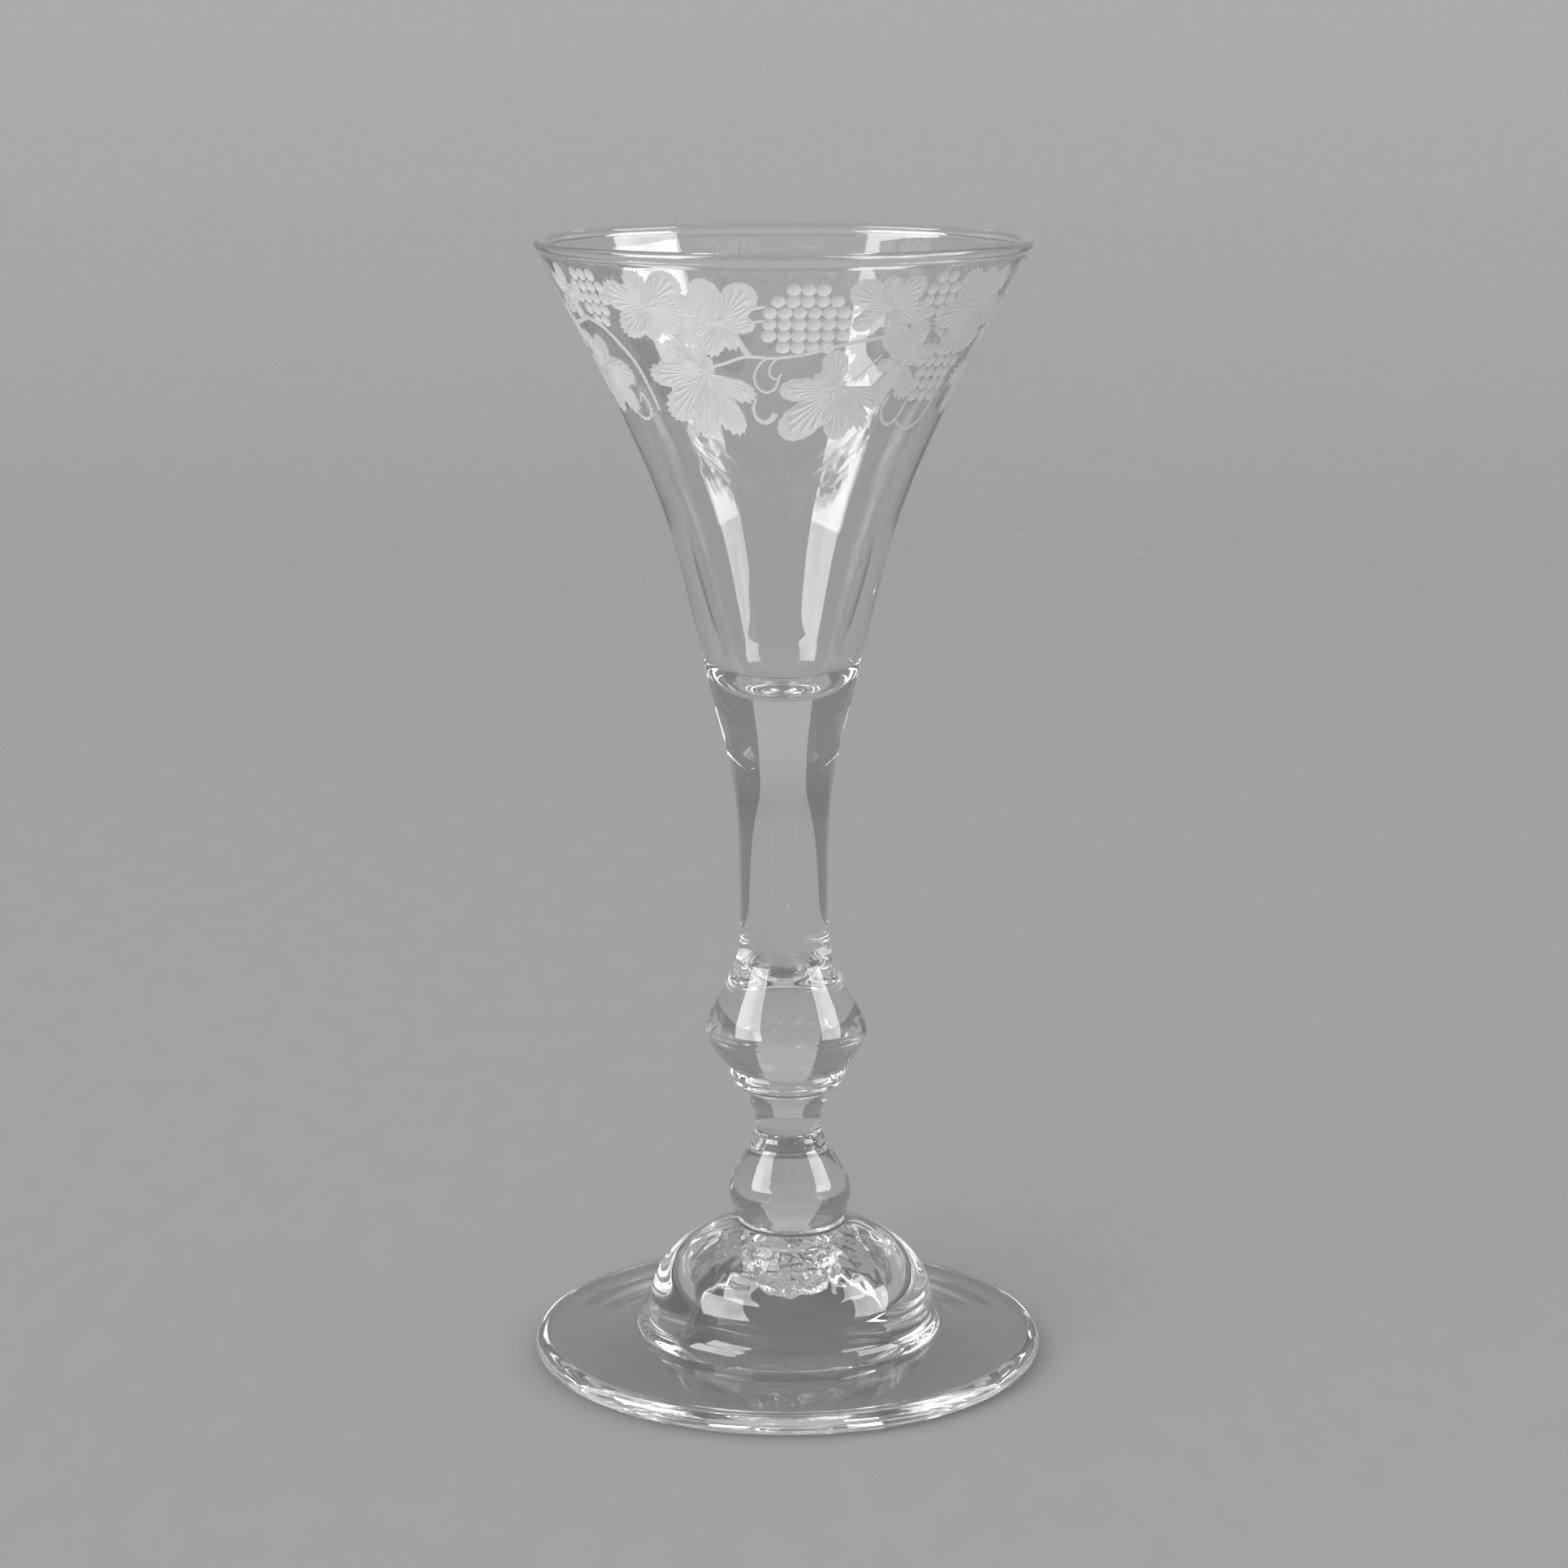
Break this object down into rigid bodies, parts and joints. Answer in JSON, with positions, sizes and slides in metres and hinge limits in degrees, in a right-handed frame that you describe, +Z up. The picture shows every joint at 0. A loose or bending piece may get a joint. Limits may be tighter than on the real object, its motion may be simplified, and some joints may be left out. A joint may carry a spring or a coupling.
{
  "type": "baluster wine glass",
  "caption": "Stemmed wine glass with a drawn trumpet bowl, a solid knopped baluster stem with thin collars, and a domed foot.",
  "frame": {"origin": "on the glass's axis, in the plane that the foot stands on", "axes": "+Z up along the axis, from the foot to the rim; X and Y are free, because the glass is round"},
  "size_m": [0.0798, 0.0798, 0.175],
  "materials": {
    "clear_glass": "fire-polished clear soda or lead glass with a slight grey cast",
    "engraved_glass": "wheel-cut matt engraving on the outside of the bowl",
    "broken_glass": "rough snapped glass on the face of the pontil scar"
  },
  "bodies": {
    "root": {"foot": "clear_glass", "pontil_boss": "broken_glass", "foot_collar": "clear_glass", "lower_knop": "clear_glass", "neck": "clear_glass", "lower_collar": "clear_glass", "upper_collar": "clear_glass", "baluster_knop": "clear_glass", "bowl": "clear_glass"}
  },
  "joints": []
}
